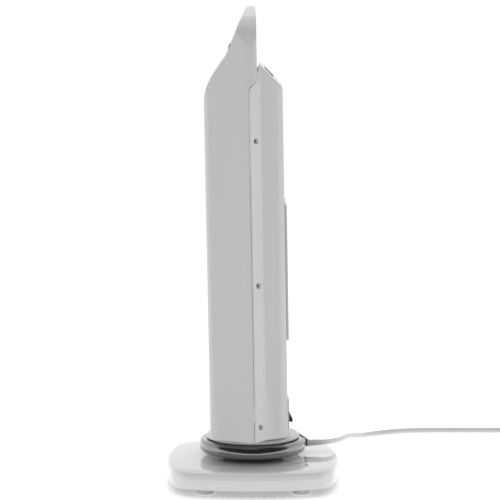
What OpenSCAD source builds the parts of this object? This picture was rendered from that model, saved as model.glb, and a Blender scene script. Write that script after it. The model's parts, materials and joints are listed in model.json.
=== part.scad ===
// Tower fan heater on a swivel base. Front faces -Y, width runs along X, floor is z = 0.

/* [Tower] */
// Width of the tower across the seam
tower_w = 190; // [170:1:230]
// Height of the tower's lower edge above the floor
tower_z = 70; // [68:1:80]
// Height of the fin's crest above the floor
tower_top = 645; // [600:1:780]
// Depth of the front shell, from its face to the seam
front_d = 60; // [54:1:72]
// Depth of the rear shell, from the seam to its back
rear_d = 45; // [44:1:56]
// Wall of both shells
wall = 2.5; // [2:0.1:3]
// Forward lean of the tower on its collar, in degrees
tower_lean = 1; // [0:0.1:1.5]

/* [Fin and shoulder] */
// Rise of the fin's crest above the rear shoulder
fin_rise = 77; // [66:1:90]
// Height of the sloping nose of the fin
nose_h = 120; // [105:1:135]
// Thickness of the fin at its crest
crest_t = 12; // [10:1:16]
// Radius of the fin's upper corners
crest_r = 52; // [40:1:60]

/* [Outlet and inlet] */
// Width of the warm air outlet
outlet_w = 92; // [80:1:100]
// Height of the warm air outlet
outlet_h = 330; // [260:1:360]
// Height of the outlet's sill above the tower's lower edge
outlet_sill = 70; // [60:1:90]
// Width of the rear air inlet
inlet_w = 84; // [70:1:88]
// Height of the rear air inlet
inlet_h = 174; // [140:1:200]
// Height of the inlet's sill above the tower's lower edge
inlet_sill = 134; // [120:1:150]
// Pitch of the grille bars
bar_pitch = 11; // [9:1:14]
// Height of one grille bar
bar_t = 2.4; // [2:0.1:3]

/* [Fan and heater] */
// Diameter of the crossflow impeller
fan_d = 52; // [44:1:56]
// Length of the impeller
fan_h = 250; // [200:1:270]
// Diameter of the fan shaft
shaft_d = 6; // [5:0.5:8]
// Blades round the impeller
blades = 24; // [16:1:28]

/* [Swivel base] */
// Diameter of the turntable disc
disc_d = 145; // [138:1:150]
// Height of the disc's underside above the floor
disc_z = 42; // [41:1:46]
// Height of the disc
disc_h = 18; // [17:1:22]
// Length of each side of the base
base_w = 235; // [215:1:270]
// Height of the base's top at its middle
base_top = 36; // [34:1:38]
// Height of the rubber feet
foot_h = 9; // [8:1:10]
// Diameter of the feet
foot_d = 22; // [18:1:26]
// Distance of the feet from the middle, across the front and back
foot_y = 64; // [55:1:68]
// Distance of the feet from the middle, to the sides
foot_x = 85; // [70:1:88]

/* [Cord] */
// Diameter of the mains cord
cord_d = 7; // [6:0.5:8]

/* [Hidden] */
run_gap = 0.4;              // gap between pieces that move past each other
fit_gap = 0.15;             // radial clearance of a shaft in its bush
seat_gap = 0.3;             // clearance of a loose panel in its seat
$fn = 64;

half_w = tower_w / 2;
front_y = -front_d + 2.5;   // front face of the tower
seam_y = front_y + front_d; // seam between the shells
back_y = seam_y + rear_d;
fin_y = 14;                 // back face of the fin
shoulder_z = tower_top - fin_rise;
rear_edge_z = shoulder_z - 28;
nose_z = tower_top - nose_h;
seam_top = shoulder_z - 20;

slope_y = front_y + 32;     // foot of the fin's sloping face
slope_z = nose_z + 0.495 * nose_h;
slope_run = 16;
slope_rise = 0.312 * nose_h;
slope_angle = atan2(slope_rise, slope_run);
button_d = 11;
button_h = 5;
display_w = 44;
display_h = 22;
display_t = 1.1;

outlet_z = tower_z + outlet_sill;
inlet_z = tower_z + inlet_sill;
fan_z = outlet_z + 20;
fan_y = 2;                  // fan axis in the tower
fan_r = fan_d / 2;
heater_y = -36;
heater_t = 12;

base_under = foot_h + 0.5;
tilt_y = -66;               // place of the tilt switch
plate_t = 2.5;
screw_z = [tower_z + 19, tower_z + 209, tower_z + 400];
screw_x = half_w - 11.5;

bearing_d = 14;
rocker_z = tower_z + 24;

pitch_tooth = 2;            // gear module
ring_teeth = 30;
pinion_teeth = 10;
ring_r = pitch_tooth * ring_teeth / 2;
pinion_r = pitch_tooth * pinion_teeth / 2;
gear_z = disc_z + 9;
gear_t = 4;
spindle_r = 16;
neck_r = 37.6;

cord_z = 48;
cord_exit = disc_d / 2;
exit_turn = 14;             // the cord leaves the disc turned this far from straight back
// Route of the cord from its grip down to the floor and along it to the coil
CORD = [[-18.5, 74.2, 48], [-20.8, 83.4, 48], [-23.4, 94, 48], [-30, 104, 47.5], [-40, 112, 46.5],
        [-57, 119, 44.5], [-80, 124.5, 41.5], [-110, 129.5, 37.5], [-142, 134, 32.5], [-176, 139, 26.5],
        [-210, 145, 20], [-243, 152.5, 13.5], [-274, 163, 8], [-300, 178, 4.6], [-319, 200, 3.5],
        [-330, 228, 3.5], [-334.5, 262, 3.5], [-335, 300, 3.5], [-335, 340, 3.5], [-335, 380, 3.5],
        [-335, 418, 3.5]];
coil_turns = 4;             // turns of a flat spiral, side by side
coil_out = 56;              // outer radius of the coil
coil_in = coil_out - (coil_turns + 1) * cord_d;
coil_centre = [-335 + coil_out - cord_d / 2, 446];
tail_x = coil_centre[0] - coil_in - cord_d / 2;
plug_y = 515;
plug_z = 10.6;              // height of the plug's axis

// ---- outlines --------------------------------------------------------------------------------

// Smooth curve through the points, in n steps from each to the next
function smooth(p, n) = concat(
    [for (i = [0:len(p) - 2], k = [0:n - 1])
        let (t = k / n, a = p[max(i - 1, 0)], b = p[i], c = p[i + 1], d = p[min(i + 2, len(p) - 1)])
            b + t / 2 * (c - a + t * (2 * a - 5 * b + 4 * c - d + t * (3 * b - a - 3 * c + d)))],
    [p[len(p) - 1]]);

// Mirrors half an outline, given from front to back, into a closed one
function both(half) = concat(half, [for (i = [len(half) - 1:-1:0]) [-half[i][0], half[i][1]]]);

front_half = smooth([[0.45 * half_w, front_y], [half_w - 37, front_y + 0.8], [half_w - 31, front_y + 4],
                     [half_w - 26, front_y + 11], [half_w - 17, front_y + 28], [half_w - 8, front_y + 44],
                     [half_w - 2, seam_y - 6], [half_w, seam_y], [half_w - 1.5, fin_y - 4],
                     [half_w - 5, fin_y]], 3);
rear_half = [[half_w - 2, seam_y + 0.4], [half_w - 3.5, seam_y + 3], [half_w - 21, seam_y + 16],
             [half_w - 30, back_y - 12], [half_w - 36, back_y - 4], [half_w - 42, back_y]];

module plan(half) { polygon(both(half)); }

// Side view of the front shell with its fin, as points of [y, z]
module front_side() {
    polygon(concat(
        [[front_y - 1, tower_z]],
        smooth([[front_y - 1, nose_z - 26], [front_y + 0.5, nose_z - 2],
                [front_y + 3.5, nose_z + 0.11 * nose_h], [front_y + 8.4, nose_z + 0.2 * nose_h],
                [front_y + 14.4, nose_z + 0.285 * nose_h], [front_y + 22.6, nose_z + 0.38 * nose_h],
                [slope_y, slope_z]], 3),
        smooth([[slope_y + slope_run, slope_z + slope_rise], [slope_y + 23.8, nose_z + 0.945 * nose_h],
                [fin_y - crest_t, tower_top]], 4),
        [[fin_y - 1, tower_top], [fin_y, tower_top - 14], [fin_y, seam_top + 1], [fin_y - 1.5, seam_top],
         [seam_y + 1.5, seam_top - 8], [seam_y, seam_top - 16], [seam_y, tower_z]]));
}

// Side view of the rear shell, as points of [y, z]
module rear_side() {
    polygon([[seam_y + 0.4, tower_z], [seam_y + 0.4, seam_top - 16.4], [seam_y + 1.9, seam_top - 8.6],
             [fin_y - 1.2, seam_top - 0.6], [fin_y + 0.4, seam_top + 0.6], [fin_y + 0.4, shoulder_z - 8],
             [fin_y + 5.5, shoulder_z],
             [back_y - 2, rear_edge_z + 1], [back_y + 1, rear_edge_z - 4], [back_y + 1, tower_z]]);
}

// Front view of the tower, its crest gently bowed between rounded corners
module elevation(t = 0) {
    translate([-half_w - 5, tower_z]) square([tower_w + 10, nose_z - tower_z]);
    hull() {
        translate([-half_w, nose_z - 1]) square([tower_w, 10]);
        for (s = [-1, 1])
            translate([s * (half_w - crest_r), tower_top - crest_r - 7 - t]) circle(r = crest_r);
        translate([0, tower_top - 30 - t]) scale([half_w - crest_r + 12, 30]) circle(r = 1);
    }
}

module side_solid(w) { rotate([90, 0, 90]) linear_extrude(w, center = true) children(); }
module front_solid(d) { rotate([90, 0, 0]) linear_extrude(d, center = true) children(); }

// Everything on the tower leans with it about the middle of its lower edge
module lean() {
    translate([0, 0, tower_z]) rotate([tower_lean, 0, 0]) translate([0, 0, -tower_z]) children();
}

module front_form(t) {
    intersection() {
        translate([0, 0, tower_z - 1]) linear_extrude(tower_top - tower_z + 2) offset(delta = -t)
            plan(front_half);
        side_solid(tower_w + 20) offset(delta = -t) front_side();
        front_solid(200) elevation(t);
    }
}

module rear_form(t) {
    intersection() {
        translate([0, 0, tower_z - 1]) linear_extrude(tower_top - tower_z + 2) offset(delta = -t)
            plan(rear_half);
        side_solid(tower_w + 20) offset(delta = -t) rear_side();
    }
}

// Horizontal bars that fill a window of the given size, with end rails
module bars(w, h, d, rail) {
    n = floor((h - 2 * rail) / bar_pitch);
    step = (h - 2 * rail) / n;
    for (i = [1:n - 1])
        translate([-w / 2 + rail - 0.5, 0, rail + i * step - bar_t / 2])
            cube([w - 2 * rail + 1, d, bar_t]);
    difference() {
        translate([-w / 2, 0, 0]) cube([w, d, h]);
        translate([-w / 2 + rail, -1, rail]) cube([w - 2 * rail, d + 2, h - 2 * rail]);
    }
}

// ---- tower -----------------------------------------------------------------------------------

module front_shell() {
    color("white") lean() difference() {
        union() {
            difference() {
                front_form(0);
                intersection() {
                    front_form(wall);
                    translate([-half_w, front_y, tower_z])
                        cube([tower_w, front_d + 30, tower_top - tower_z - 30]);
                }
                translate([-half_w + wall + 1, seam_y - wall - 1, tower_z + wall])
                    cube([tower_w - 2 * wall - 2, wall + 2, seam_top - tower_z - 22]);
            }
            // screw bosses with a rib to the side wall
            intersection() {
                front_form(wall / 2);
                for (s = [-1, 1], z = screw_z) {
                    translate([s * screw_x, seam_y - 14, z]) rotate([-90, 0, 0]) cylinder(d = 9, h = 13);
                    translate([s * screw_x - (s < 0 ? 15 : 0), seam_y - 14, z - 1.5]) cube([15, 13, 3]);
                }
            }
        }
        for (s = [-1, 1], z = screw_z)
            translate([s * screw_x, seam_y - 12, z]) rotate([-90, 0, 0]) cylinder(d = 3.3, h = 20);
        translate([-outlet_w / 2, front_y - 2, outlet_z]) cube([outlet_w, 8, outlet_h]);
        button_places() translate([0, 0, -12]) cylinder(d = button_d + 2 * run_gap, h = 22);
        display_place() translate([-display_w / 2, -display_h / 2, -1.4])
            cube([display_w, display_h, 20]);
        translate([0, 0, tower_z - 2]) cylinder(r = spindle_r + 1, h = 2 + wall + 1);
    }
}

module outlet_grille() {
    color("gainsboro") lean()
        translate([0, front_y + 3.2, outlet_z + seat_gap])
            bars(outlet_w - 2 * seat_gap, outlet_h - 2 * seat_gap, 4.5, 4);
}

// Places at a height along the sloping face, z pointing out of it
module on_slope(x, up) {
    translate([x, slope_y + slope_run * up, slope_z + slope_rise * up])
        rotate([slope_angle, 0, 0]) children();
}
module button_places() { for (x = [-28, 0, 28]) on_slope(x, 0.24) children(); }
module display_place() { on_slope(0, 0.85) children(); }

module button(x) {
    color("silver") lean() on_slope(x, 0.24) {
        translate([0, 0, -button_h + 1.2]) cylinder(d = button_d, h = button_h);
        translate([0, 0, -button_h - 0.8]) cylinder(d = 5, h = 2.5);
    }
}
module power_button() { button(-28); }
module mode_button() { button(0); }
module swing_button() { button(28); }

module display_window() {
    color("black") lean() display_place()
        translate([-display_w / 2 + seat_gap, -display_h / 2 + seat_gap, -1.4])
            cube([display_w - 2 * seat_gap, display_h - 2 * seat_gap, display_t]);
}

module control_board() {
    color("green") lean() on_slope(0, 0.2) {
        translate([-40, -12, -14]) cube([80, 24, 1.6]);
        for (x = [-28, 0, 28]) translate([x - 3, -1.4, -12.4]) cube([6, 6, 4.8]);
        translate([-36, 7, -18]) cube([20, 5, 4]);
        for (x = [-37, 37]) translate([x - 2, -11, -12.4]) cube([4, 3, 9.1]);
    }
}

module heater_frame() {
    color("dimgray") lean() difference() {
        union() {
            translate([-outlet_w / 2 - 4, heater_y, outlet_z + 8])
                cube([outlet_w + 8, heater_t, outlet_h - 16]);
            // lugs that reach the inside of the front wall
            for (s = [-1, 1], z = [outlet_z + 20, outlet_z + outlet_h - 40])
                translate([s * (outlet_w / 2 + 2) - 1.7, front_y + 4.6, z])
                    cube([3.4, heater_y - front_y - 4.4, 14]);
        }
        translate([-outlet_w / 2 + 2, heater_y - 1, outlet_z + 14])
            cube([outlet_w - 4, heater_t + 2, outlet_h - 28]);
    }
}

module ptc_bars() {
    n = 4;
    span = outlet_w - 4 - 2 * seat_gap;
    color("peru") lean() for (i = [0:n - 1]) {
        z = outlet_z + 14 + seat_gap + (i + 0.5) * (outlet_h - 28 - 2 * seat_gap) / n;
        translate([-span / 2, heater_y + 2, z - 7]) cube([span, heater_t - 4, 14]);
        for (k = [0:11])
            translate([-span / 2 + (k + 0.5) * span / 12 - 0.5, heater_y + 1.5, z - 22])
                cube([1, heater_t - 3, 44]);
    }
}

module thermal_cutout() {
    color("silver") lean() translate([-outlet_w / 2 + 14, heater_y + heater_t, outlet_z + outlet_h - 12])
        rotate([-90, 0, 0]) {
            cylinder(d = 15, h = 3);
            cylinder(d = 9, h = 7);
        }
}

module fan_duct() {
    mouth = fan_y - heater_y - heater_t;    // from the fan axis forward to the heater frame
    inner = fan_r + 5;
    color("gray") lean() translate([0, fan_y, 0]) {
        translate([0, 0, fan_z - 0.5]) linear_extrude(fan_h + 1) for (s = [-1, 1]) {
            intersection() {
                difference() {
                    circle(r = inner + 3);
                    circle(r = inner);
                }
                translate([s * inner, 3]) square([20, 10], center = true);
            }
            translate([s * (inner + 1.5) - 1.5, -mouth]) square([3, mouth]);
            translate([s * (outlet_w / 2 + 4 + inner) / 2 - (outlet_w / 2 + 4 - inner) / 2, -mouth])
                square([outlet_w / 2 + 4 - inner, 2.5]);
        }
        for (z = [fan_z - 3, fan_z + fan_h]) translate([0, 0, z]) linear_extrude(3) difference() {
            translate([-inner - 3, -mouth]) square([2 * inner + 6, mouth + fan_r]);
            circle(d = bearing_d + 2 * fit_gap);
        }
    }
}

module impeller() {
    color("black") lean() translate([0, fan_y, fan_z + 3]) {
        for (z = [0, (fan_h - 6) / 2 - 1, fan_h - 8])
            translate([0, 0, z]) difference() {
                cylinder(r = fan_r, h = 2);
                translate([0, 0, -1]) cylinder(d = shaft_d + 0.02, h = 4);
            }
        for (k = [0:blades - 1]) rotate(k * 360 / blades)
            translate([fan_r - 8, -0.6, 0]) rotate(18) cube([7.2, 1.2, fan_h - 6]);
    }
}

module fan_shaft() {
    color("silver") lean() translate([0, fan_y, fan_z - 20]) cylinder(d = shaft_d, h = fan_h + 34);
}

module top_bearing() {
    color("goldenrod") lean() translate([0, fan_y, fan_z + fan_h - 0.5]) difference() {
        union() {
            cylinder(d = bearing_d, h = 9);
            translate([0, 0, 3.5]) cylinder(d = bearing_d + 6, h = 3);
        }
        translate([0, 0, -1]) cylinder(d = shaft_d + 0.1, h = 11);
    }
}

module fan_motor() {
    color("silver") lean() translate([0, fan_y, fan_z - 48]) {
        difference() {
            union() {
                cylinder(d = 46, h = 40);
                cylinder(d = bearing_d, h = 47);
            }
            translate([0, 0, 27]) cylinder(d = shaft_d + 0.1, h = 20);
        }
        difference() {
            translate([-fan_r - 8, -7, 40]) cube([fan_d + 16, 14, 2]);
            translate([0, 0, 39]) cylinder(d = bearing_d - 1, h = 4);
        }
        for (s = [-1, 1]) translate([s * (fan_r + 3), 0, 40]) cylinder(d = 6, h = 5);
    }
}

module rear_shell() {
    recess = [76, 12, 40];
    recess_at = [-38, fin_y + 10, shoulder_z - 34];
    color("white") lean() difference() {
        union() {
            difference() {
                rear_form(0);
                rear_form(wall);
                translate([-half_w + 8, seam_y - 1, tower_z + wall])
                    cube([tower_w - 16, wall + 3, seam_top - tower_z - 22]);
            }
            intersection() {
                rear_form(0.2);
                union() {
                    for (s = [-1, 1], z = screw_z)
                        translate([s * screw_x, seam_y, z]) rotate([-90, 0, 0]) cylinder(d = 13, h = 30);
                    translate(recess_at - [wall, wall, wall])
                        cube([recess[0] + 2 * wall, recess[1] + 2 * wall, recess[2]]);
                }
            }
        }
        translate([-inlet_w / 2, back_y - wall - 2, inlet_z]) cube([inlet_w, wall + 4, inlet_h]);
        // finger recess in the shoulder behind the fin
        translate(recess_at) cube(recess);
        for (s = [-1, 1], z = screw_z) translate([s * screw_x, seam_y - 2, z]) rotate([-90, 0, 0]) {
            cylinder(d = 3.4, h = 30);
            translate([0, 0, 8]) cylinder(d = 8, h = 30);
        }
        translate([-13, back_y - wall - 1, rocker_z - 18]) cube([26, wall + 3, 36]);
        translate([0, 0, tower_z - 2]) cylinder(r = spindle_r + 1, h = 2 + wall + 1);
    }
}

module inlet_grille() {
    color("gainsboro") lean() translate([0, back_y - wall - 2.5, inlet_z + seat_gap])
        bars(inlet_w - 2 * seat_gap, inlet_h - 2 * seat_gap, 3.2, 4);
}

module filter_frame() {
    color("white") lean() translate([0, back_y + seat_gap, inlet_z - 4])
        bars(inlet_w + 10, inlet_h + 8, 3, 6);
}

module filter_mesh() {
    color("dimgray") lean() translate([-inlet_w / 2 + 2, back_y - 1.3, inlet_z + 2])
        cube([inlet_w - 4, 1.3 + seat_gap, inlet_h - 4]);
}

module shell_screws() {
    color("silver") lean() for (s = [-1, 1], z = screw_z)
        translate([s * screw_x, seam_y + 6, z]) rotate([-90, 0, 0]) {
            translate([0, 0, -15]) cylinder(d = 3.1, h = 15.1);
            difference() {
                cylinder(d = 6.2, h = 2.2);
                translate([-2, -0.4, 1.2]) cube([4, 0.8, 2]);
                translate([-0.4, -2, 1.2]) cube([0.8, 4, 2]);
            }
        }
}

module switch_housing() {
    color("white") lean() difference() {
        union() {
            translate([-12.7, back_y - 14, rocker_z - 17.7]) cube([25.4, 16, 35.4]);
            translate([-15, back_y + 0.1, rocker_z - 20]) cube([30, 2.2, 40]);
        }
        translate([-10, back_y - 12, rocker_z - 16.2]) cube([20, 20, 32.4]);
        translate([-14, back_y - 3, rocker_z]) rotate([0, 90, 0]) cylinder(d = 3.2, h = 28);
    }
}

module rocker_switch() {
    color("dimgray") lean() translate([0, back_y - 3, rocker_z]) {
        translate([-9.6, 0, 0]) rotate([90, 0, 90]) linear_extrude(19.2)
            polygon([[-5, -5], [-5, 5], [2.4, 13.4], [4, 13.2], [5.2, 0], [10.4, -11.6], [8.8, -12.6],
                     [2.4, -11.4]]);
        translate([-12.6, 0, 0]) rotate([0, 90, 0]) cylinder(d = 3, h = 25.2);
    }
}

module collar() {
    color("white") translate([0, 0, disc_z + disc_h + run_gap]) rotate_extrude()
        polygon([[spindle_r, 0], [62, 0], [63.5, 1.5], [63.5, 4], [60, 6.6], [52, 6.6],
                 [50, 8.6], [spindle_r, 8.6]]);
}

module spindle() {
    base = gear_z + gear_t;
    color("gray") difference() {
        union() {
            translate([0, 0, base]) cylinder(r = spindle_r, h = tower_z + wall + 4 - base);
            lean() translate([0, 0, tower_z + wall]) cylinder(r = spindle_r + 14, h = 3);
        }
        translate([0, 0, base - 1]) cylinder(r = spindle_r - 4, h = 60);
    }
}

function tooth_ring(n, r, up, down, share) =
    [for (k = [0:n - 1], c = [[-0.5, -down], [-0.3, up], [0.3, up], [0.5, -down]])
        let (a = 360 / n * (k + c[0] * share), q = r + c[1]) [q * cos(a), q * sin(a)]];

module ring_gear() {
    color("ivory") translate([0, 0, gear_z]) difference() {
        linear_extrude(gear_t - 0.01) polygon(tooth_ring(ring_teeth, ring_r, 1.4, 2.1, 0.55));
        translate([0, 0, -1]) cylinder(r = spindle_r - 4, h = gear_t + 2);
    }
}

module retaining_ring() {
    color("silver") translate([0, 0, gear_z - 2]) difference() {
        cylinder(r = spindle_r + 6, h = 1.99);
        translate([0, 0, -1]) cylinder(r = spindle_r - 4, h = 4);
    }
}

// ---- turntable and base ----------------------------------------------------------------------

module turntable_disc() {
    r = disc_d / 2;
    color("silver") difference() {
        union() {
            translate([0, 0, disc_z]) rotate_extrude()
                polygon([[54, 0], [r - 3, 0], [r - 0.6, 4.7], [r, 10], [r, disc_h - 5], [r - 7, disc_h],
                         [54, disc_h]]);
            translate([0, 0, disc_z + disc_h - 4]) cylinder(r = 54, h = 4);
            translate([0, 0, disc_z]) cylinder(r = 54, h = 3);
        }
        translate([0, 0, disc_z - 1]) cylinder(r = neck_r + run_gap, h = 5);
        translate([0, 0, disc_z + 5]) cylinder(r = spindle_r + 0.08, h = disc_h);
        translate([-15, 30, disc_z - 1]) cube([30, 22, 5]);
        rotate(exit_turn) translate([0, r - 22, cord_z]) rotate([-90, 0, 0]) cylinder(d = 8.8, h = 30);
    }
}

module disc_neck() {
    foot = base_top - 6;
    color("gray") difference() {
        union() {
            translate([0, 0, foot]) cylinder(r = neck_r, h = disc_z + 5.5 - foot);
            translate([0, 0, foot]) cylinder(r = neck_r + 8, h = 2.5);
            translate([0, 0, base_top]) cylinder(r = neck_r + 3.4, h = disc_z - base_top);
        }
        translate([0, 0, foot + 3]) cylinder(r = neck_r - 3.6, h = 40);
        translate([0, 0, foot - 1]) cylinder(r = 9, h = 6);
        translate([-14, 20, base_top + 4]) cube([28, 40, 20]);
    }
}

module swing_motor() {
    color("silver") {
        translate([0, 17, base_top - 3]) cylinder(d = 30, h = 9.3);
        difference() {
            translate([-8, 14, base_top + 6.2]) cube([16, ring_r + pinion_r + 8 - 14, 2.8]);
            translate([0, ring_r + pinion_r, base_top + 5]) cylinder(d = 4.1, h = 5);
        }
    }
}

module pinion() {
    color("ivory") translate([0, ring_r + pinion_r, gear_z]) rotate(180 + 180 / pinion_teeth) {
        linear_extrude(gear_t) polygon(tooth_ring(pinion_teeth, pinion_r, 1.4, 2.1, 0.62));
        translate([0, 0, -8.6]) cylinder(d = 4, h = 9);
    }
}

// Rounded square of the given width: bowed sides that run into round corners
function bowed(w, corner) =
    let (b = 13, k = cos(b) - sin(b), side = (w / 2 - corner * k) / (1 - k), c = (side - corner) * sin(b))
    [for (q = [0:3], p = concat(
            [for (i = [0:6]) let (a = b + (90 - 2 * b) * i / 6) [c + corner * cos(a), c + corner * sin(a)]],
            [for (i = [1:5]) let (a = 90 - b + 2 * b * i / 6) [side * cos(a), w / 2 - side + side * sin(a)]]))
        [p[0] * cos(90 * q) - p[1] * sin(90 * q), p[0] * sin(90 * q) + p[1] * cos(90 * q)]];

module base_slice(z, inset, h = 0.2) {
    translate([0, 0, z]) linear_extrude(h) polygon(bowed(base_w - 2 * inset, 42 - inset / 2));
}

module base_form(t) {
    hull() {
        base_slice(base_under, 1.5 + t);
        base_slice(base_under + 6, 0.3 + t);
        base_slice(base_under + 14, t);
        base_slice(base_top - 7 - t, 1.2 + t);
        base_slice(base_top - 4 - t, 4 + t);
        base_slice(base_top - 2.2 - t, 10 + t);
        base_slice(base_top - 0.2 - t, 46);
    }
}

module base_shell() {
    color("white") difference() {
        union() {
            difference() {
                base_form(0);
                translate([0, 0, -0.5]) base_form(2.6);
            }
            intersection() {
                base_form(1);
                boss_places() translate([0, 0, plate_t + 0.3]) cylinder(d = 9, h = 40);
            }
        }
        base_slice(base_under - 1, 4, plate_t + 1.3);
        cylinder(r = neck_r + seat_gap, h = 60);
        boss_places() cylinder(d = 3, h = 14);
    }
}

// Places of the base screws, at the level of the base's lower edge
module boss_places() { for (a = [45:90:315]) rotate(a) translate([105, 0, base_under]) children(); }

module base_plate() {
    color("gray") difference() {
        base_slice(base_under, 4.4, plate_t);
        boss_places() translate([0, 0, -1]) {
            cylinder(d = 3.6, h = 10);
            cylinder(d = 7, h = 2);
        }
        for (sx = [-1, 1], sy = [-1, 1]) translate([sx * foot_x, sy * foot_y, base_under - 1])
            cylinder(d = 8.2, h = 10);
    }
}

module base_screws() {
    color("silver") boss_places() {
        cylinder(d = 6, h = 1);
        cylinder(d = 2.9, h = 10);
    }
}

module ballast() {
    color("dimgray") for (s = [-1, 1])
        translate([s * 68 - 22, -58, base_under + plate_t]) cube([44, 116, 8]);
}

module tilt_switch() {
    color("tan") translate([0, tilt_y, base_under + plate_t]) difference() {
        translate([-14, -8, 0]) cube([28, 16, 18]);
        translate([-12, -6, -1]) cube([24, 12, 17]);
        translate([0, -20, 13]) rotate([-90, 0, 0]) cylinder(d = 2.1, h = 40);
    }
}

module tilt_pendulum() {
    color("silver") translate([0, tilt_y, base_under + plate_t + 13]) {
        translate([0, -7.8, 0]) rotate([-90, 0, 0]) cylinder(d = 2, h = 15.6);
        translate([-1.2, -4, -7]) cube([2.4, 8, 7]);
        translate([0, -4, -7]) rotate([-90, 0, 0]) cylinder(d = 9, h = 8);
    }
}

module feet() {
    color("lightgray") for (sx = [-1, 1], sy = [-1, 1]) translate([sx * foot_x, sy * foot_y, 0]) {
        rotate_extrude() polygon([[0, 0], [foot_d / 2 - 1, 0], [foot_d / 2, 1], [foot_d / 2, foot_h],
                                  [7, foot_h], [7, base_under], [4, base_under],
                                  [4, base_under + plate_t], [0, base_under + plate_t]]);
    }
}

// ---- cord ------------------------------------------------------------------------------------

module cord_cover() {
    r = cord_exit;
    top = disc_z + disc_h;
    color("white") rotate(exit_turn) translate([-17, 0, 0]) rotate([90, 0, 90]) linear_extrude(34)
        polygon([[r - 6.7, top + 0.15], [r - 6.7, top + 1.5], [r - 4.5, top + 1.5], [r + 3.5, top - 5],
                 [r + 3.5, cord_z + 5.4], [r + 0.2, cord_z + 5.4], [r + 0.2, top - 4.7]]);
}

module cord_grip() {
    color("black") rotate(exit_turn) translate([0, cord_exit - 19, cord_z]) rotate([-90, 0, 0]) {
        cylinder(d = 8.6, h = 19.2);
        translate([0, 0, 19.1]) cylinder(d = 10, h = 3);
    }
}

module strain_relief() {
    color("white") rotate(exit_turn) translate([0, cord_exit + 3.1, cord_z]) rotate([-90, 0, 0])
        rotate_extrude() polygon([[cord_d / 2 + 0.1, 0], [cord_d / 2 + 1, 0], [cord_d / 2 + 0.5, 22],
                                  [cord_d / 2 + 0.1, 22]]);
}

function unit(v) = v / norm(v);
module cord_tube() {
    n = 8;
    last = len(CORD) - 1;
    rings = [for (i = [0:last])
        let (t = i == 0 ? [0, 1, 0] : i == last ? [0, 1, 0] : unit(CORD[i + 1] - CORD[i - 1]),
             s = unit(cross(t, [0, 0, 1])), u = cross(s, t))
        [for (k = [0:n - 1]) let (a = 360 / n * k + 22.5) CORD[i] + cord_d / 2 * (s * cos(a) + u * sin(a))]];
    points = [for (r = rings) each r];
    faces = concat(
        [[for (k = [0:n - 1]) k]],
        [for (i = [0:last - 1], k = [0:n - 1])
            [i * n + k, (i + 1) * n + k, (i + 1) * n + (k + 1) % n, i * n + (k + 1) % n]],
        [[for (k = [n - 1:-1:0]) last * n + k]]);
    color("white") polyhedron(points = points, faces = faces, convexity = 6);
}

module cord_coil() {
    color("white") translate([coil_centre[0], coil_centre[1], 0]) rotate_extrude()
        translate([coil_in, 0]) square([coil_out - coil_in, cord_d]);
}

module cord_tail() {
    color("white") translate([tail_x, coil_centre[1], plug_z]) rotate([-90, 0, 0])
        cylinder(d = cord_d, h = plug_y - coil_centre[1]);
}

module plug_body() {
    color("white") translate([tail_x, plug_y, plug_z]) rotate([-90, 0, 0]) {
        cylinder(d1 = 10, d2 = 13, h = 14);
        translate([0, 0, 14]) intersection() {
            cylinder(d1 = 20, d2 = 36, h = 24);
            translate([-20, -plug_z, 0]) cube([40, 2 * plug_z, 24]);
        }
    }
}

module plug_pins() {
    color("silver") translate([tail_x, plug_y + 38, plug_z])
        for (s = [-1, 1]) translate([s * 9.5, 0, 0]) rotate([-90, 0, 0]) cylinder(d = 4.8, h = 19);
}

front_shell();
outlet_grille();
display_window();
power_button();
mode_button();
swing_button();
control_board();
heater_frame();
ptc_bars();
thermal_cutout();
fan_duct();
impeller();
fan_shaft();
top_bearing();
fan_motor();
rear_shell();
inlet_grille();
filter_frame();
filter_mesh();
shell_screws();
switch_housing();
rocker_switch();
collar();
spindle();
ring_gear();
retaining_ring();
turntable_disc();
disc_neck();
swing_motor();
pinion();
base_shell();
base_plate();
base_screws();
ballast();
tilt_switch();
tilt_pendulum();
feet();
cord_cover();
cord_grip();
strain_relief();
cord_tube();
cord_coil();
cord_tail();
plug_body();
plug_pins();
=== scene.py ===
"""Tower fan heater: detailed pieces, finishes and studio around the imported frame."""
import json
import math

import bmesh
import bpy
from mathutils import Matrix, Vector


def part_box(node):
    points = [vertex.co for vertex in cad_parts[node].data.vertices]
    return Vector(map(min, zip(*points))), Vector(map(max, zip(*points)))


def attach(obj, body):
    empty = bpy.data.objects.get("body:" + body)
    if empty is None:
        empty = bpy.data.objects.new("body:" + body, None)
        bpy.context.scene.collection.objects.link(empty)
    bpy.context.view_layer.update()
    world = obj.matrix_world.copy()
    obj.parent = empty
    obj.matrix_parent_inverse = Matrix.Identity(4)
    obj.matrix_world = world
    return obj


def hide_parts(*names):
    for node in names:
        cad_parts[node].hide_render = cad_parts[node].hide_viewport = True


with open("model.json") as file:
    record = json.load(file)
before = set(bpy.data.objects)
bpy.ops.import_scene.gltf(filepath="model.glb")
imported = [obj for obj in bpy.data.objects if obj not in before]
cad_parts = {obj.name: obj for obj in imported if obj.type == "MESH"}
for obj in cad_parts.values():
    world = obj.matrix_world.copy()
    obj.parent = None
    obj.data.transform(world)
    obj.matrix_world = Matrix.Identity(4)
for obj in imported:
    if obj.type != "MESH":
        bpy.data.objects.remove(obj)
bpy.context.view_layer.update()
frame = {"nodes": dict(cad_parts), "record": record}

bl_info = {
    "name": "Tower Fan Heater",
    "version": (1, 0, 0),
    "blender": (4, 5, 0),
    "location": "3D View > Sidebar > Heater",
    "description": "Builds the tower fan heater's detailed pieces, finishes and studio",
    "category": "Add Mesh",
}

MM = 0.001
SLOTS = {part["node"]: part["material_slot"] for part in frame["record"]["subparts"]}

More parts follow.
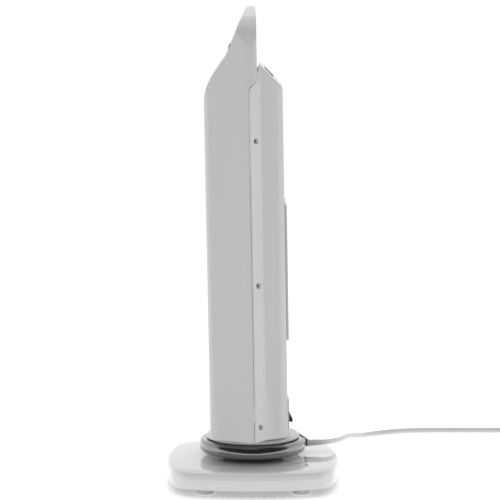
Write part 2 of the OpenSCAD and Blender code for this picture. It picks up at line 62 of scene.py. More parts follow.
# stage, in metres and watts
MIDDLE_Y = -0.0037                # the camera looks along the plane of this Y
AIM_Z = 0.3167
CLIP_END = 60
LAMPS = (                         # name, place, side of the square, power
    ("box_front", (0.2, -1.9, 0.9), 1.5, 1.2),
    ("box_rear", (0.2, 1.9, 0.9), 1.5, 1.4),
    ("box_top", (-0.7, 0, 2.4), 2.2, 12),
)
LAMP_AIM = (0, 0, 0.3)
WORLD_FADE = {"From Min": -0.6, "From Max": 0.1, "To Min": 1.05, "To Max": 0.5}
FLOOR_HALF = 9
FLOOR_Z = -0.0002                 # just under the feet
FLOOR_GLOW = 0.4
CARD_X = 0.26
CARD_HALF = 1.3
CARD_LOW = 0.001
CARD_HIGH = 1.2

# tower and base, in mm
COLLAR_HOLE_R = 16
COLLAR_R = 63.5
COLLAR_BOSS_R = 50
COLLAR_STEP_Z = 6.6               # height of the collar's edge
COLLAR_TOP_Z = 8.6                # height of its middle
DISC_T = 18
DISC_WALL = 4                     # thickness of the disc's top
DISC_HOLE_R = 16.1
DISC_FOOT_R = 38
DISC_HUB_R = 54
BASE_HOLE_R = 38
BASE_RIM_R = 52
BASE_T = 3.1
FOOT_R = 11
FOOT_H = 9.5
AXIS_R = 0.01                     # as near to the axis as an outline comes

# cord, in mm unless a name says otherwise
CORD_D = 7 * MM
CORD_R = 3.5
EXIT_TURN = math.radians(14)      # the cord leaves the disc turned this far from straight back
EXIT_Z = 48
GRIP_AT = 72.5                    # distance from the disc's axis to the grip's shoulder
RELIEF_AT = 75.7
RIBS = 6
RIB_PITCH = 3.4
ROUTE = [
    (-18.5, 74.2, 48), (-20.8, 83.4, 48), (-23.4, 94, 48), (-30, 104, 47.5), (-40, 112, 46.5),
    (-57, 119, 44.5), (-80, 124.5, 41.5), (-110, 129.5, 37.5), (-142, 134, 32.5), (-176, 139, 26.5),
    (-210, 145, 20), (-243, 152.5, 13.5), (-274, 163, 8), (-300, 178, 4.6), (-319, 200, 3.5),
    (-330, 228, 3.5), (-334.5, 262, 3.5), (-335, 300, 3.5), (-335, 340, 3.5), (-335, 380, 3.5),
    (-335, 418, 3.5),
]
COIL_X = -282.5
COIL_Y = 446
COIL_START = 52.5                 # radius of the spiral's first turn
COIL_TURNS = 4
COIL_KNOTS = 48                   # knots in each turn
LIFT_FROM = COIL_TURNS - 0.4      # turns after which the cord rises to the plug
TAIL_STEPS = (12, 30, 50)         # the tail's knots, this far behind the coil's middle
CURVE_STEP = 2.5                  # spacing of points along the smoothed line
CURVE_MOST = 6                    # most points between two knots
PLUG_Y = 515
PLUG_Z = 10.6
PLUG_SQUARENESS = 0.72            # 1 makes the plug's sections oval, less makes them squarer
PLUG_SECTIONS = [                 # distance along the plug, half width, half height
    (0, 5, 5), (6, 5.4, 5.4), (13, 6.5, 6.5), (16, 9.5, 8), (22, 12.5, 9.6), (30, 15, 10.2),
    (36, 16.6, 10.4), (38, 16, 9.8),
]

# sockets of the Mix node when it mixes colours
MIX_FACTOR = 0
MIX_FIRST = 6
MIX_SECOND = 7
MIX_RESULT = 2


# ---- settings --------------------------------------------------------------------------------

class HeaterSizes(bpy.types.PropertyGroup):
    """Sizes of the details that are added to the frame"""
    shell_edge: bpy.props.FloatProperty(
        name="Shell edge", description="Radius of the shells' rounded edges", default=1.6 * MM,
        unit="LENGTH")
    small_edge: bpy.props.FloatProperty(
        name="Small edge", description="Radius of the edges of bars, keys and covers", default=0.4 * MM,
        unit="LENGTH")
    base_width: bpy.props.FloatProperty(
        name="Base width", description="Length of each side of the base", default=235 * MM,
        unit="LENGTH")
    base_corner: bpy.props.FloatProperty(
        name="Base corner", description="Radius of the base's corners", default=42 * MM,
        unit="LENGTH")
    camera_distance: bpy.props.FloatProperty(
        name="Camera distance", description="Distance of the camera from the heater's middle plane",
        default=3.2, unit="LENGTH")
    camera_height: bpy.props.FloatProperty(
        name="Camera height", description="Height of the camera above the floor", default=0.70,
        unit="LENGTH")
    lens: bpy.props.FloatProperty(
        name="Lens", description="Focal length of the camera in millimetres", default=171.65)


def colour_property(name, description, default):
    """Colour with the settings that all of the finishes' colours share"""
    return bpy.props.FloatVectorProperty(
        name=name, description=description, default=default, subtype="COLOR", size=3, min=0, max=1)


class HeaterColours(bpy.types.PropertyGroup):
    """Colours of the finishes"""
    shell: colour_property("Shell", "White of the tower's shells", (0.64, 0.64, 0.64))
    base: colour_property("Base", "White of the base", (0.76, 0.76, 0.76))
    disc: colour_property("Disc", "Grey of the turntable disc", (0.26, 0.26, 0.27))
    grille: colour_property("Grille", "Grey of the grilles", (0.55, 0.55, 0.56))
    foot: colour_property("Feet", "Grey of the rubber feet", (0.74, 0.74, 0.74))
    cord: colour_property("Cord", "Grey of the cord's sheath", (0.66, 0.66, 0.65))


def sizes():
    """The scene's sizes"""
    return bpy.context.scene.heater_sizes


def colours():
    """The scene's colours"""
    return bpy.context.scene.heater_colours


# ---- shader nodes ----------------------------------------------------------------------------

class Field:
    """A socket that carries a number, with arithmetic that adds Math nodes"""

    def __init__(self, nodes, socket):
        self.nodes = nodes
        self.socket = socket

    def _maths(self, operation, left, right):
        node = self.nodes.node("ShaderNodeMath", {"operation": operation}, {0: left, 1: right})
        return Field(self.nodes, node.outputs[0])

    def __add__(self, other):
        return self._maths("ADD", self, other)

    def __radd__(self, other):
        return self._maths("ADD", other, self)

    def __mul__(self, other):
        return self._maths("MULTIPLY", self, other)

    def __rmul__(self, other):
        return self._maths("MULTIPLY", other, self)

    def __gt__(self, other):
        return self._maths("GREATER_THAN", self, other)

    def at_least(self, other):
        """The larger of the two numbers"""
        return self._maths("MAXIMUM", self, other)


class Nodes:
    """Adds nodes to a material's or a world's tree"""

    def __init__(self, tree):
        self.tree = tree

    def node(self, kind, settings=None, inputs=None):
        """A node of a kind; its settings are set first, then its sockets' values or links"""
        node = self.tree.nodes.new(kind)
        for key, value in (settings or {}).items():
            setattr(node, key, value)
        for key, value in (inputs or {}).items():
            self.feed(node.inputs[key], value)
        return node

    def feed(self, socket, value):
        """Links a field or a socket to a socket, or sets its value"""
        if isinstance(value, Field):
            value = value.socket
        if isinstance(value, bpy.types.NodeSocket):
            self.tree.links.new(value, socket)
        else:
            socket.default_value = value


class Finish(Nodes):
    """A material and the nodes that make it"""

    def __init__(self, name):
        self.material = bpy.data.materials.new(name)
        self.material.use_nodes = True
        super().__init__(self.material.node_tree)
        self.surface = self.tree.nodes["Principled BSDF"]
        self.place = self.node("ShaderNodeTexCoord").outputs["Object"]

    def noise(self, scale, detail, roughness, stretch=(1, 1, 1)):
        """Noise around 0.5; scale is in blobs per metre, and a small stretch draws them out"""
        moved = self.node("ShaderNodeMapping", None, {"Vector": self.place, "Scale": stretch})
        noise = self.node("ShaderNodeTexNoise", None, {
            "Vector": moved.outputs[0], "Scale": scale, "Detail": detail, "Roughness": roughness})
        return Field(self, noise.outputs[0])

    def wave(self, scale, axis, distortion=0.0):
        """Bands across an axis, from 0 to 1"""
        wave = self.node("ShaderNodeTexWave", {"bands_direction": axis}, {
            "Vector": self.place, "Scale": scale, "Distortion": distortion})
        return Field(self, wave.outputs["Fac"])

    def blend(self, factor, first, second):
        """Colour between two colours"""
        mix = self.node("ShaderNodeMix", {"data_type": "RGBA"}, {
            MIX_FACTOR: factor, MIX_FIRST: (*first, 1), MIX_SECOND: (*second, 1)})
        return mix.outputs[MIX_RESULT]

    def bump(self, height, strength, distance):
        """Relief from a height field; distance is in metres"""
        bump = self.node("ShaderNodeBump", None, {
            "Height": height, "Strength": strength, "Distance": distance})
        self.feed(self.surface.inputs["Normal"], bump.outputs[0])

    def set(self, **values):
        """Sets or links the shader's sockets; an underscore stands for a space"""
        for key, value in values.items():
            self.feed(self.surface.inputs[key.replace("_", " ")], value)


# ---- finishes --------------------------------------------------------------------------------

def shade(colour, factor):
    """A colour made darker or lighter"""
    return tuple(min(1.0, channel * factor) for channel in colour)


def gloss_moulding(name, colour, roughness, coat=0.0):
    """Glossy injection moulding: faint flow marks, orange peel and fine wipe marks"""
    finish = Finish(name)
    flow = finish.noise(scale=9, detail=2, roughness=0.5, stretch=(1, 1, 0.35))
    wipe = finish.noise(scale=420, detail=4, roughness=0.6, stretch=(1, 1, 0.12))
    peel = finish.noise(scale=260, detail=2, roughness=0.4)
    finish.set(Base_Color=finish.blend(flow, shade(colour, 0.975), shade(colour, 1.02)),
               Roughness=roughness + 0.05 * wipe, IOR=1.52, Coat_Weight=coat, Coat_Roughness=0.02)
    finish.bump(peel + 0.4 * flow, strength=0.05, distance=0.0004)
    return finish.material


def satin_moulding(name, colour, grain):
    """Fine spark-eroded plastic, slightly paler on its high spots"""
    finish = Finish(name)
    texture = finish.noise(scale=grain, detail=5, roughness=0.6)
    soil = finish.noise(scale=30, detail=3, roughness=0.6)
    finish.set(Base_Color=finish.blend(texture, shade(colour, 0.9), shade(colour, 1.08)),
               Roughness=0.42 + 0.16 * soil, IOR=1.5)
    finish.bump(texture, strength=0.25, distance=0.0003)
    return finish.material


def lacquered_disc(name, colour):
    """Silver lacquer under a clear coat, with faint flakes and bands"""
    finish = Finish(name)
    flakes = finish.noise(scale=2600, detail=2, roughness=0.7)
    bands = finish.noise(scale=700, detail=2, roughness=0.5, stretch=(0.02, 0.02, 1))
    finish.set(Base_Color=finish.blend(flakes, shade(colour, 0.86), shade(colour, 1.12)),
               Metallic=0.95, Roughness=0.1 + 0.05 * bands, Coat_Weight=0.6, Coat_Roughness=0.04)
    finish.bump(bands + 0.3 * flakes, strength=0.04, distance=0.0003)
    return finish.material


def metal(name, colour, roughness, grain=(1, 1, 0.05)):
    """Drawn or plated metal with fine scratches and duller patches"""
    finish = Finish(name)
    scratch = finish.noise(scale=1500, detail=3, roughness=0.6, stretch=grain)
    patch = finish.noise(scale=60, detail=4, roughness=0.6)
    finish.set(Base_Color=finish.blend(patch, shade(colour, 0.82), shade(colour, 1.1)),
               Metallic=1.0, Roughness=roughness + 0.18 * scratch)
    finish.bump(scratch, strength=0.12, distance=0.0002)
    return finish.material


def rubber(name, colour):
    """Moulded rubber with a fine matte grain and dust"""
    finish = Finish(name)
    grain = finish.noise(scale=1800, detail=4, roughness=0.7)
    dust = finish.noise(scale=90, detail=5, roughness=0.65)
    finish.set(Base_Color=finish.blend(dust, shade(colour, 0.92), shade(colour, 1.15)),
               Roughness=0.55 + 0.2 * grain, Specular_IOR_Level=0.35)
    finish.bump(grain, strength=0.3, distance=0.0003)
    return finish.material


def sheath(name, colour):
    """Extruded cord sheath: satin, with a fine skin and handling marks"""
    finish = Finish(name)
    handling = finish.noise(scale=45, detail=4, roughness=0.6)
    skin = finish.noise(scale=1400, detail=3, roughness=0.6)
    finish.set(Base_Color=finish.blend(handling, shade(colour, 0.94), shade(colour, 1.05)),
               Roughness=0.34 + 0.14 * handling, IOR=1.5)
    finish.bump(skin, strength=0.12, distance=0.0002)
    return finish.material


def net(name, colour):
    """Woven filter net: threads over and under each other, with a painted highlight where they cross and
    painted shade between them
    """
    finish = Finish(name)
    warp = finish.wave(scale=420, axis="X")
    weft = finish.wave(scale=420, axis="Z")
    # painted highlight on the crossings of the threads, painted shade in the gaps between them
    finish.set(Base_Color=finish.blend(warp * weft, shade(colour, 0.25), shade(colour, 2.2)),
               Roughness=0.8)
    finish.bump(warp + weft, strength=0.6, distance=0.0006)
    return finish.material


def solder_mask(name, colour):
    """Green solder mask over copper traces"""
    finish = Finish(name)
    traces = finish.wave(scale=160, axis="X", distortion=6.0) > 0.82
    finish.set(Base_Color=finish.blend(traces, colour, shade(colour, 1.9)),
               Roughness=0.3 + 0.1 * traces, Coat_Weight=0.4, Coat_Roughness=0.1)
    finish.bump(traces, strength=0.3, distance=0.0002)
    return finish.material


def casting(name, colour):
    """Rough grey iron casting with patches of rust"""
    finish = Finish(name)
    sand = finish.noise(scale=800, detail=6, roughness=0.7)
    rust = finish.noise(scale=70, detail=5, roughness=0.6)
    finish.set(Base_Color=finish.blend(rust, colour, (0.24, 0.15, 0.1)), Metallic=0.6,
               Roughness=0.6 + 0.25 * sand)
    finish.bump(sand, strength=0.6, distance=0.0008)
    return finish.material


FINISHES = {}


def make_finishes():
    """Makes one material for each of the record's slots"""
    tone = colours()
    even = (1, 1, 1)
    FINISHES.update({
        "white_gloss": gloss_moulding("white_gloss_moulding", tone.shell, roughness=0.13),
        "base_gloss": gloss_moulding("base_gloss_moulding", tone.base, roughness=0.02, coat=0.5),
        "grille_grey": satin_moulding("grille_satin", tone.grille, grain=900),
        "disc_silver": lacquered_disc("disc_lacquer", tone.disc),
        "window_black": gloss_moulding("window_smoked", (0.015, 0.015, 0.018), roughness=0.04),
        "key_silver": metal("key_plating", (0.72, 0.72, 0.74), roughness=0.1, grain=even),
        "board_green": solder_mask("board_solder_mask", (0.02, 0.16, 0.06)),
        "inner_plastic": satin_moulding("inner_moulding", (0.05, 0.05, 0.055), grain=600),
        "heater_alloy": metal("heater_alloy", (0.78, 0.78, 0.8), roughness=0.25),
        "steel": metal("zinc_steel", (0.62, 0.62, 0.64), roughness=0.25),
        "bronze": metal("sintered_bronze", (0.55, 0.36, 0.16), roughness=0.4, grain=even),
        "gear_nylon": satin_moulding("gear_nylon", (0.78, 0.75, 0.66), grain=500),
        "iron": casting("ballast_iron", (0.12, 0.12, 0.12)),
        "foot_rubber": rubber("foot_rubber", tone.foot),
        "black_rubber": rubber("black_rubber", (0.018, 0.018, 0.018)),
        "cord_pvc": sheath("cord_sheath", tone.cord),
        "filter_net": net("filter_net", (0.09, 0.09, 0.09)),
    })


# ---- mesh helpers ----------------------------------------------------------------------------

def add_object(name, data):
    """Puts a mesh, curve, lamp or camera into the scene"""
    obj = bpy.data.objects.new(name, data)
    bpy.context.scene.collection.objects.link(obj)
    return obj


def add_sheet(name, corners, finish):
    """A single face of the stage, with its material"""
    mesh = mesh_from(name, lambda bm: bm.faces.new([bm.verts.new(corner) for corner in corners]))
    obj = add_object(name, mesh)
    mesh.materials.append(finish.material)
    return obj


def piece(name, mesh, body, slot, *nodes, smooth=35):
    """Adds a mesh as a piece that rides on a body and stands for the CAD nodes named"""
    obj = add_object(name, mesh)
    mesh.materials.append(FINISHES[slot])
    mesh.shade_smooth()
    mesh.set_sharp_from_angle(angle=math.radians(smooth))
    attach(obj, body)
    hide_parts(*nodes)
    return obj


def mesh_from(name, build):
    """A mesh from a function that fills a bmesh"""
    bm = bmesh.new()
    build(bm)
    bmesh.ops.recalc_face_normals(bm, faces=bm.faces)
    mesh = bpy.data.meshes.new(name)
    bm.to_mesh(mesh)
    bm.free()
    return mesh


def join_rings(bm, rings, closed=True):
    """Skins a list of rings of points; closed joins the last to the first, else both are capped"""
    made = [[bm.verts.new(point) for point in ring] for ring in rings]
    count = len(made[0])
    pairs = list(zip(made, made[1:]))
    if closed:
        pairs.append((made[-1], made[0]))
    for low, high in pairs:
        for i in range(count):
            j = (i + 1) % count
            bm.faces.new((low[i], low[j], high[j], high[i]))
    if not closed:
        bm.faces.new(list(reversed(made[0])))
        bm.faces.new(made[-1])


def turned(outline, steps, place):
    """Rings of an outline of (radius, height) in mm turned about Z"""
    rings = []
    for radius, height in outline:
        rings.append([
            place @ Vector((radius * MM * math.cos(2 * math.pi * k / steps),
                            radius * MM * math.sin(2 * math.pi * k / steps), height * MM))
            for k in range(steps)])
    return rings


def lathe(name, outline, steps, place=Matrix.Identity(4)):
    """Turns a closed outline of (radius, height) in mm about Z"""
    return mesh_from(name, lambda bm: join_rings(bm, turned(outline, steps, place)))


def rounded(points, radius, steps):
    """Rounds the corners of an open outline of (a, b) pairs; its two ends stay"""
    most = 0.45                   # share of an edge that one corner may take
    out = [points[0]]
    for before, corner, after in zip(points, points[1:], points[2:]):
        corner_v = Vector(corner)
        arm_in = Vector(before) - corner_v
        arm_out = Vector(after) - corner_v
        reach = min(radius, arm_in.length * most, arm_out.length * most)
        start = corner_v + arm_in.normalized() * reach
        end = corner_v + arm_out.normalized() * reach
        for k in range(steps + 1):
            t = k / steps
            out.append(tuple(start.lerp(corner_v, t).lerp(corner_v.lerp(end, t), t)))
    out.append(points[-1])
    return out


def bowed_ring(width, corner, height):
    """Rounded square with bowed sides, as a ring of points in metres; sizes in mm"""
    steps = 12
    bow = math.radians(13)        # half of the angle that each side bends through
    k = math.cos(bow) - math.sin(bow)
    side = (width / 2 - corner * k) / (1 - k)
    centre = (side - corner) * math.sin(bow)
    quarter = []
    for i in range(steps + 1):
        a = bow + (math.pi / 2 - 2 * bow) * i / steps
        quarter.append((centre + corner * math.cos(a), centre + corner * math.sin(a)))
    for i in range(1, steps):
        a = math.pi / 2 - bow + 2 * bow * i / steps
        quarter.append((side * math.cos(a), width / 2 - side + side * math.sin(a)))
    ring = []
    for c, s in ((1, 0), (0, 1), (-1, 0), (0, -1)):
        ring += [Vector(((x * c - y * s) * MM, (x * s + y * c) * MM, height * MM)) for x, y in quarter]
    return ring


def round_ring(like, radius, height):
    """Circle whose points lie in the same directions as those of another ring; sizes in mm"""
    return [Vector((point.x, point.y, 0)).normalized() * radius * MM + Vector((0, 0, height * MM))
            for point in like]


def coat(node):
    """Gives a CAD node its finish and smooth curved faces"""
    obj = frame["nodes"][node]
    mesh = obj.data
    mesh.materials.clear()
    mesh.materials.append(FINISHES[SLOTS[node]])
    if "custom_normal" in mesh.attributes:
        mesh.attributes.remove(mesh.attributes["custom_normal"])
    mesh.shade_smooth()
    mesh.set_sharp_from_angle(angle=math.radians(30))
    return obj


def soften(node, edge, segments=3, angle=30, dissolve=True):
    """Gives a CAD node its finish and rounded edges; a grille's faces, full of holes, stay divided"""
    obj = coat(node)
    weld = obj.modifiers.new("weld", "WELD")
    weld.merge_threshold = 0.00002
    if dissolve:
        merge = obj.modifiers.new("flat_faces", "DECIMATE")
        merge.decimate_type = "DISSOLVE"
        merge.angle_limit = math.radians(0.4)
    bevel = obj.modifiers.new("edges", "BEVEL")
    bevel.width = edge
    bevel.segments = segments
    bevel.limit_method = "ANGLE"
    bevel.angle_limit = math.radians(angle)
    bevel.use_clamp_overlap = True
    bevel.harden_normals = False
    normals = obj.modifiers.new("normals", "WEIGHTED_NORMAL")
    normals.weight = 80
    normals.keep_sharp = True


# ---- operators -------------------------------------------------------------------------------

class HEATER_OT_finishes(bpy.types.Operator):
    """Make the materials"""
    bl_idname = "heater.finishes"
    bl_label = "Finishes"
    bl_options = {"REGISTER", "UNDO"}

    def execute(self, context):
        make_finishes()
        return {"FINISHED"}


class HEATER_OT_stage(bpy.types.Operator):
    """Set up the floor, the lights and the camera"""
    bl_idname = "heater.stage"
    bl_label = "Stage"
    bl_options = {"REGISTER", "UNDO"}

    def execute(self, context):
        self.floor()
        self.world(context.scene)
        self.lamps()
        self.card()
        self.camera(context.scene)
        return {"FINISHED"}

    def floor(self):
        """Pale paper that glows a little"""
        finish = Finish("floor_paper")
        grain = finish.noise(scale=60, detail=4, roughness=0.6)
        finish.set(Base_Color=finish.blend(grain, (0.93, 0.93, 0.93), (0.97, 0.97, 0.97)), Roughness=0.9,
                   Specular_IOR_Level=0.1, Emission_Color=(1, 1, 1, 1), Emission_Strength=FLOOR_GLOW)
        half = FLOOR_HALF
        add_sheet("floor", [(x, y, FLOOR_Z) for x, y in (
            (-half, -half), (half, -half), (half, half), (-half, half))], finish)

    def world(self, scene):
        """White behind the heater, grey on its near side; a view sees it white all round"""
        world = bpy.data.worlds.new("studio")
        world.use_nodes = True
        nodes = Nodes(world.node_tree)
        place = nodes.node("ShaderNodeTexCoord")
        split = nodes.node("ShaderNodeSeparateXYZ", None, {0: place.outputs["Generated"]})
        fade = nodes.node("ShaderNodeMapRange", None, {"Value": split.outputs["X"], **WORLD_FADE})
        path = nodes.node("ShaderNodeLightPath")
        light = Field(nodes, fade.outputs["Result"]).at_least(path.outputs["Is Camera Ray"])
        background = world.node_tree.nodes["Background"]
        nodes.feed(background.inputs["Strength"], light)
        nodes.feed(background.inputs["Color"], (1, 1, 1, 1))
        scene.world = world
        scene.view_settings.view_transform = "Standard"

    def lamps(self):
        """Soft boxes in front of, behind and over the heater"""
        for name, place, size, watts in LAMPS:
            data = bpy.data.lights.new(name, "AREA")
            data.size = size
            data.energy = watts
            lamp = add_object(name, data)
            lamp.location = place
            aim = Vector(LAMP_AIM) - Vector(place)
            lamp.rotation_euler = aim.to_track_quat("-Z", "Y").to_euler()

    def card(self):
        """Dark card beside the heater, which only shows in its gloss"""
        finish = Finish("card_black")
        finish.set(Base_Color=(0.01, 0.01, 0.01, 1), Roughness=0.9)
        card = add_sheet("dark_card", [(CARD_X, y, z) for y, z in (
            (-CARD_HALF, CARD_LOW), (CARD_HALF, CARD_LOW), (CARD_HALF, CARD_HIGH),
            (-CARD_HALF, CARD_HIGH))], finish)
        card.visible_camera = False
        card.visible_shadow = False
        card.visible_diffuse = False
        card.visible_transmission = False

    def camera(self, scene):
        """Camera at the heater's side, looking slightly down"""
        size = sizes()
        data = bpy.data.cameras.new("camera")
        data.lens = size.lens
        data.clip_end = CLIP_END
        camera = add_object("camera", data)
        camera.location = (size.camera_distance, MIDDLE_Y, size.camera_height)
        aim = Vector((0, MIDDLE_Y, AIM_Z)) - camera.location
        camera.rotation_euler = aim.to_track_quat("-Z", "Y").to_euler()
        scene.camera = camera


class HEATER_OT_cord(bpy.types.Operator):
    """Lay the mains cord with its grip, strain relief, coil and plug"""
    bl_idname = "heater.cord"
    bl_label = "Mains cord"
    bl_options = {"REGISTER", "UNDO"}

    def execute(self, context):
        relief = self.relief()
        self.grip()
        plug = self.plug()
        points = self.line()
        curve = bpy.data.curves.new("mains_cord", "CURVE")
        curve.dimensions = "3D"
        curve.bevel_depth = CORD_D / 2
        curve.bevel_resolution = 6
        curve.use_fill_caps = True
        spline = curve.splines.new("POLY")
        spline.points.add(len(points) - 1)
        for spot, point in zip(spline.points, points):
            spot.co = (*point, 1)
        spline.use_smooth = True
        curve.materials.append(FINISHES["cord_pvc"])
        cord = add_object("mains_cord", curve)
        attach(cord, "base")
        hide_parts("cord_tube", "cord_coil", "cord_tail")
        length = sum((b - a).length for a, b in zip(points, points[1:]))
        return {"FINISHED"}

    def line(self):
        """Centre line: the route, smoothed, then the coil and the tail to the plug"""
        knots = [Vector(point) * MM for point in ROUTE]
        centre = Vector((COIL_X, COIL_Y, 0)) * MM
        for k in range(0, COIL_TURNS * COIL_KNOTS + 1):
            turn = k / COIL_KNOTS
            radius = COIL_START * MM - CORD_D * turn
            angle = math.pi - 2 * math.pi * turn
            rise = max(0.0, (turn - LIFT_FROM) / (COIL_TURNS - LIFT_FROM))
            height = CORD_R + (PLUG_Z - CORD_R) * rise * rise * (3 - 2 * rise)
            knots.append(centre + Vector((radius * math.cos(angle), radius * math.sin(angle), height * MM)))
        x = knots[-1].x
        for y in (*(COIL_Y + step for step in TAIL_STEPS), PLUG_Y):
            knots.append(Vector((x, y * MM, PLUG_Z * MM)))
        return self.smooth(knots)

    def smooth(self, knots):
        """Centripetal curve through the knots"""
        points = [2 * knots[0] - knots[1], *knots, 2 * knots[-1] - knots[-2]]
        line = []
        for a, b, c, d in zip(points, points[1:], points[2:], points[3:]):
            times = [0.0]
            for start, end in ((a, b), (b, c), (c, d)):
                times.append(times[-1] + max((end - start).length, 1e-6) ** 0.5)
            count = max(1, min(CURVE_MOST, round((c - b).length / (CURVE_STEP * MM))))
            for k in range(count):
                t = times[1] + (times[2] - times[1]) * k / count
                line.append(self.between((a, b, c, d), times, t))
        line.append(knots[-1])
        return line

    def between(self, knots, times, t):
        """Point of the curve at a time between the second and the third of four knots"""
        level = knots
        for depth in (1, 2):
            level = [level[i].lerp(level[i + 1], (t - times[i]) / (times[i + depth] - times[i]))
                     for i in range(len(level) - 1)]
        return level[0].lerp(level[1], (t - times[1]) / (times[2] - times[1]))

    def from_exit(self, forward):
        """Frame at a distance in mm along the cord's way out of the disc, Z pointing out"""
        return (Matrix.Rotation(EXIT_TURN, 4, "Z") @ Matrix.Translation((0, forward * MM, EXIT_Z * MM))
                @ Matrix.Rotation(-math.pi / 2, 4, "X"))

    def grip(self):
        """Black bush in the disc's edge, with a shoulder outside"""
        outline = [(3.6, -18), (4.3, -18), (4.3, 0.4)] + rounded(
            [(4.3, 0.4), (5, 0.4), (5, 3.1), (3.6, 3.1)], 0.5, 4)[1:]
        piece("cord_bush", lathe("cord_bush", outline, 48, self.from_exit(GRIP_AT)), "base",
              "black_rubber", "cord_grip")

    def relief(self):
        """Tapering sleeve with ribs"""
        outline = [(3.52, 0)]
        for k in range(RIBS):
            start = 1 + k * RIB_PITCH
            wide = 4.5 - 0.11 * k
            outline += [(wide, start), (wide, start + 2.2), (wide - 0.45, start + 2.5),
                        (wide - 0.45, start + 3.1)]
        outline += [(3.75, 22), (3.52, 22)]
        return piece("strain_sleeve", lathe("strain_sleeve", outline, 48, self.from_exit(RELIEF_AT)),
                     "base", "cord_pvc", "strain_relief", smooth=50)

    def plug(self):
        """Plug's moulding, lofted through its sections"""
        low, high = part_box("plug_body")
        x = low.x / 2 + high.x / 2
        count = 40
        rings = []
        for along, wide, tall in PLUG_SECTIONS:
            ring = []
            for k in range(count):
                a = 2 * math.pi * k / count
                c, s = math.cos(a), math.sin(a)
                ring.append(Vector((x + math.copysign(abs(c) ** PLUG_SQUARENESS, c) * wide * MM,
                                    (PLUG_Y + along) * MM,
                                    (PLUG_Z + math.copysign(abs(s) ** PLUG_SQUARENESS, s) * tall) * MM)))
            rings.append(ring)
        mesh = mesh_from("plug_moulding", lambda bm: join_rings(bm, rings, closed=False))
        obj = piece("plug_moulding", mesh, "base", "cord_pvc", "plug_body", smooth=60)
        rounding = obj.modifiers.new("rounding", "SUBSURF")
        rounding.levels = 1
        rounding.render_levels = 1
        return obj


class HEATER_OT_shells(bpy.types.Operator):
    """Round the shells' edges and finish them"""
    bl_idname = "heater.shells"
    bl_label = "Shells"
    bl_options = {"REGISTER", "UNDO"}

    def execute(self, context):
        for node in ("front_shell", "rear_shell"):
            soften(node, sizes().shell_edge, segments=4, angle=28)
        return {"FINISHED"}


class HEATER_OT_fittings(bpy.types.Operator):
    """Finish the tower's grilles, keys, filter, switch and screws"""
    bl_idname = "heater.fittings"
    bl_label = "Fittings"
    bl_options = {"REGISTER", "UNDO"}

    def execute(self, context):
        for node in ("outlet_grille", "inlet_grille", "filter_frame"):
            soften(node, sizes().small_edge, dissolve=False)
        for node in ("display_window", "power_button", "mode_button", "swing_button", "switch_housing",
                     "rocker_switch", "cord_cover"):
            soften(node, sizes().small_edge)
        for node in ("filter_mesh", "shell_screws"):
            coat(node)
        return {"FINISHED"}


class HEATER_OT_inner(bpy.types.Operator):
    """Finish the pieces inside the tower and the base"""
    bl_idname = "heater.inner"
    bl_label = "Inner pieces"
    bl_options = {"REGISTER", "UNDO"}

    def execute(self, context):
        for node in ("control_board", "heater_frame", "ptc_bars", "thermal_cutout", "fan_duct", "impeller",
                     "fan_shaft", "top_bearing", "fan_motor", "spindle", "ring_gear", "retaining_ring",
                     "disc_neck", "swing_motor", "pinion", "base_plate", "base_screws", "ballast",
                     "tilt_switch", "tilt_pendulum", "plug_pins"):
            soften(node, sizes().small_edge / 2, segments=2)
        return {"FINISHED"}


class HEATER_OT_collar(bpy.types.Operator):
    """Turn the white collar between the tower and the disc"""
    bl_idname = "heater.collar"
    bl_label = "Collar"
    bl_options = {"REGISTER", "UNDO"}

    def execute(self, context):
        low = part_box("collar")[0].z / MM
        foot_r = COLLAR_R - 3.5
        edge = [(foot_r, low), (COLLAR_R - 1.5, low), (COLLAR_R, low + 1.5), (COLLAR_R, low + 4),
                (foot_r, low + COLLAR_STEP_Z), (COLLAR_BOSS_R + 2, low + COLLAR_STEP_Z)]
        outline = [(COLLAR_HOLE_R, low), (foot_r, low)] + rounded(edge, 1.6, 5)[1:] + [
            (COLLAR_BOSS_R, low + COLLAR_TOP_Z), (COLLAR_HOLE_R, low + COLLAR_TOP_Z)]
        piece("swivel_collar", lathe("swivel_collar", outline, 128), "tower", "white_gloss", "collar")
        return {"FINISHED"}


class HEATER_OT_disc(bpy.types.Operator):
    """Turn the chamfered silver disc"""
    bl_idname = "heater.disc"
    bl_label = "Turntable disc"
    bl_options = {"REGISTER", "UNDO"}

    def execute(self, context):
        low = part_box("turntable_disc")[0].z / MM
        top = low + DISC_T
        edge = rounded([(56, low), (68.6, low), (71.5, low + 2.4), (72.4, low + 7), (72.5, low + 11),
                        (72, low + 15.4), (69.4, top), (56, top)], 2.2, 5)
        outline = [(DISC_FOOT_R, low)] + edge + [
            (DISC_HOLE_R, top), (DISC_HOLE_R, top - DISC_WALL), (DISC_HUB_R, top - DISC_WALL),
            (DISC_HUB_R, low + 3), (DISC_FOOT_R, low + 3)]
        piece("silver_disc", lathe("silver_disc", outline, 180), "base", "disc_silver",
              "turntable_disc", smooth=30)
        return {"FINISHED"}


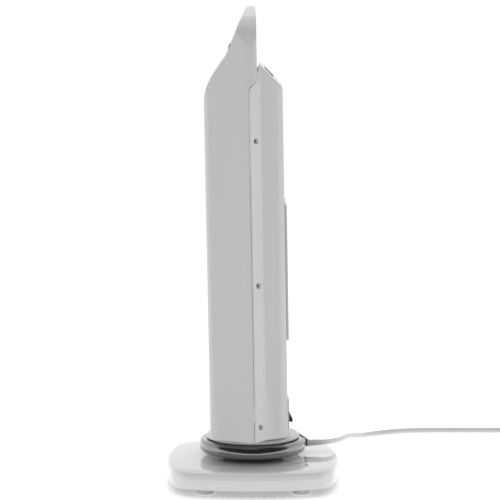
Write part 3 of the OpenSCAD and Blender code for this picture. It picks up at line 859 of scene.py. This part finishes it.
class HEATER_OT_base(bpy.types.Operator):
    """Loft the glossy base cover"""
    bl_idname = "heater.base"
    bl_label = "Base cover"
    bl_options = {"REGISTER", "UNDO"}

    def execute(self, context):
        width = sizes().base_width / MM
        corner = sizes().base_corner / MM
        low, high = (point.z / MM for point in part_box("base_shell"))
        # (height, inset) up the outside and over the top
        side = [(low, 4), (low, 1.5), (low + 6, 0.3), (low + 14, 0), (low + 19.5, 0.5), (high - 3.6, 2.4),
                (high - 2.2, 5.6), (high - 1.4, 11), (high - 0.3, 30)]
        rings = [bowed_ring(width - 2 * inset, max(corner - inset / 2, 20), height)
                 for height, inset in rounded(side, 2.4, 5)]
        # (radius, height) down through the hole
        for radius, height in ((BASE_RIM_R, high - 0.05), (BASE_HOLE_R, high), (BASE_HOLE_R, high - BASE_T)):
            rings.append(round_ring(rings[0], radius, height))
        # (width lost, corner lost, height) back down inside
        for narrower, tighter, height in ((62, 15, high - 3.5), (16, 4, high - 8), (8, 2, low + 4)):
            rings.append(bowed_ring(width - narrower, corner - tighter, height))
        mesh = mesh_from("base_cover", lambda bm: join_rings(bm, rings))
        piece("base_cover", mesh, "base", "base_gloss", "base_shell", smooth=40)
        return {"FINISHED"}


class HEATER_OT_feet(bpy.types.Operator):
    """Turn the four rubber feet"""
    bl_idname = "heater.feet"
    bl_label = "Feet"
    bl_options = {"REGISTER", "UNDO"}

    def execute(self, context):
        low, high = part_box("feet")
        side = [(6, 0.6), (8, 0), (FOOT_R - 0.8, 0), (FOOT_R, 1.2), (FOOT_R, 9), (7, 9), (7, FOOT_H)]
        outline = [(AXIS_R, 0)] + rounded(side, 0.8, 3) + [(AXIS_R, FOOT_H)]
        inset = FOOT_R * MM

        def build(bm):
            for x in (low.x + inset, high.x - inset):
                for y in (low.y + inset, high.y - inset):
                    rings = turned(outline, 48, Matrix.Translation((x, y, 0)))
                    join_rings(bm, rings, closed=False)

        piece("rubber_feet", mesh_from("rubber_feet", build), "base", "foot_rubber", "feet")
        return {"FINISHED"}


class HEATER_PT_panel(bpy.types.Panel):
    """Lists the sizes, the colours and the build steps"""
    bl_idname = "HEATER_PT_panel"
    bl_label = "Tower Fan Heater"
    bl_space_type = "VIEW_3D"
    bl_region_type = "UI"
    bl_category = "Heater"

    def draw(self, context):
        for group in (context.scene.heater_sizes, context.scene.heater_colours):
            for name in group.bl_rna.properties.keys():
                if name not in ("rna_type", "name"):
                    self.layout.prop(group, name)
        for step in STEPS:
            self.layout.operator(step.bl_idname)


STEPS = (HEATER_OT_finishes, HEATER_OT_stage, HEATER_OT_cord, HEATER_OT_shells, HEATER_OT_fittings,
         HEATER_OT_inner, HEATER_OT_collar, HEATER_OT_disc, HEATER_OT_base, HEATER_OT_feet)
CLASSES = (HeaterSizes, HeaterColours, *STEPS, HEATER_PT_panel)


def register():
    """Registers the classes and the scene's settings"""
    for item in CLASSES:
        bpy.utils.register_class(item)
    bpy.types.Scene.heater_sizes = bpy.props.PointerProperty(type=HeaterSizes)
    bpy.types.Scene.heater_colours = bpy.props.PointerProperty(type=HeaterColours)


def unregister():
    """Takes them away again"""
    del bpy.types.Scene.heater_sizes
    del bpy.types.Scene.heater_colours
    for item in reversed(CLASSES):
        bpy.utils.unregister_class(item)


def main():
    """Builds everything"""
    register()
    for step in STEPS:
        getattr(bpy.ops.heater, step.bl_idname.split(".")[1])()


if __name__ == "__main__":
    main()
